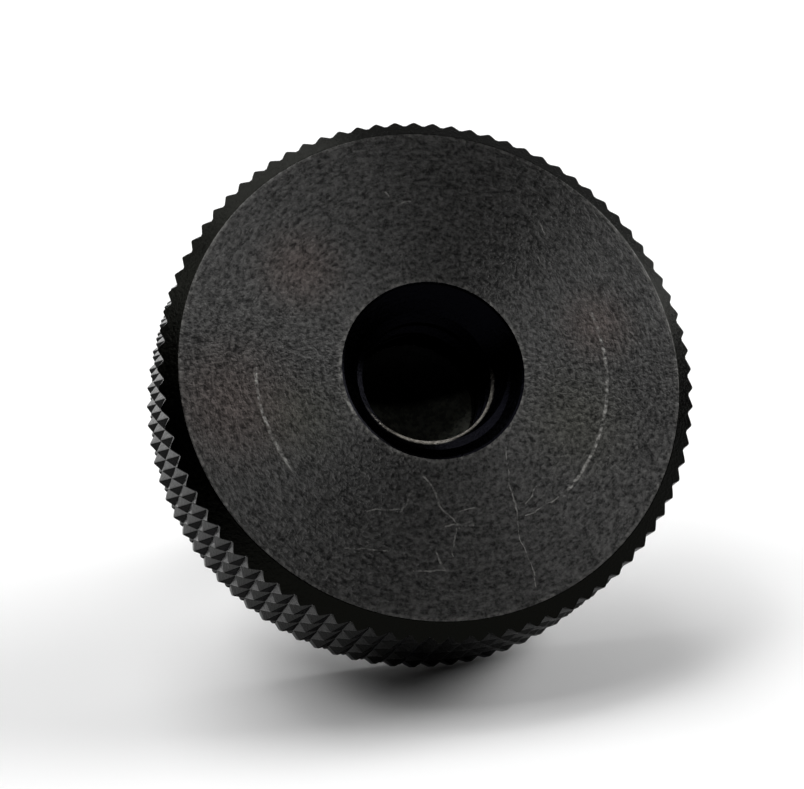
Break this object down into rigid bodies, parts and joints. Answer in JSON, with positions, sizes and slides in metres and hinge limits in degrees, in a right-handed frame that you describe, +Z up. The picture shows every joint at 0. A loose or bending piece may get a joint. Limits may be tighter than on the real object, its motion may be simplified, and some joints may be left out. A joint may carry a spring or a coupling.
{
  "type": "camera mount screw",
  "caption": "Knurled-head camera mount screw with a countersunk tapped hole in its face and a threaded stud behind.",
  "frame": {"origin": "on the surface that the screw lies on, under the middle of the lying screw", "axes": "+Z up, away from that surface; -Y towards the side that the head's face is turned to; the screw's own axis lies in the YZ plane and rises towards -Y"},
  "size_m": [0.0214, 0.0202, 0.0199],
  "materials": {
    "blackened_steel": "black oxide, satin, worn bright on the points of the knurl"
  },
  "bodies": {
    "root": {"mount_screw": "blackened_steel"}
  },
  "joints": []
}
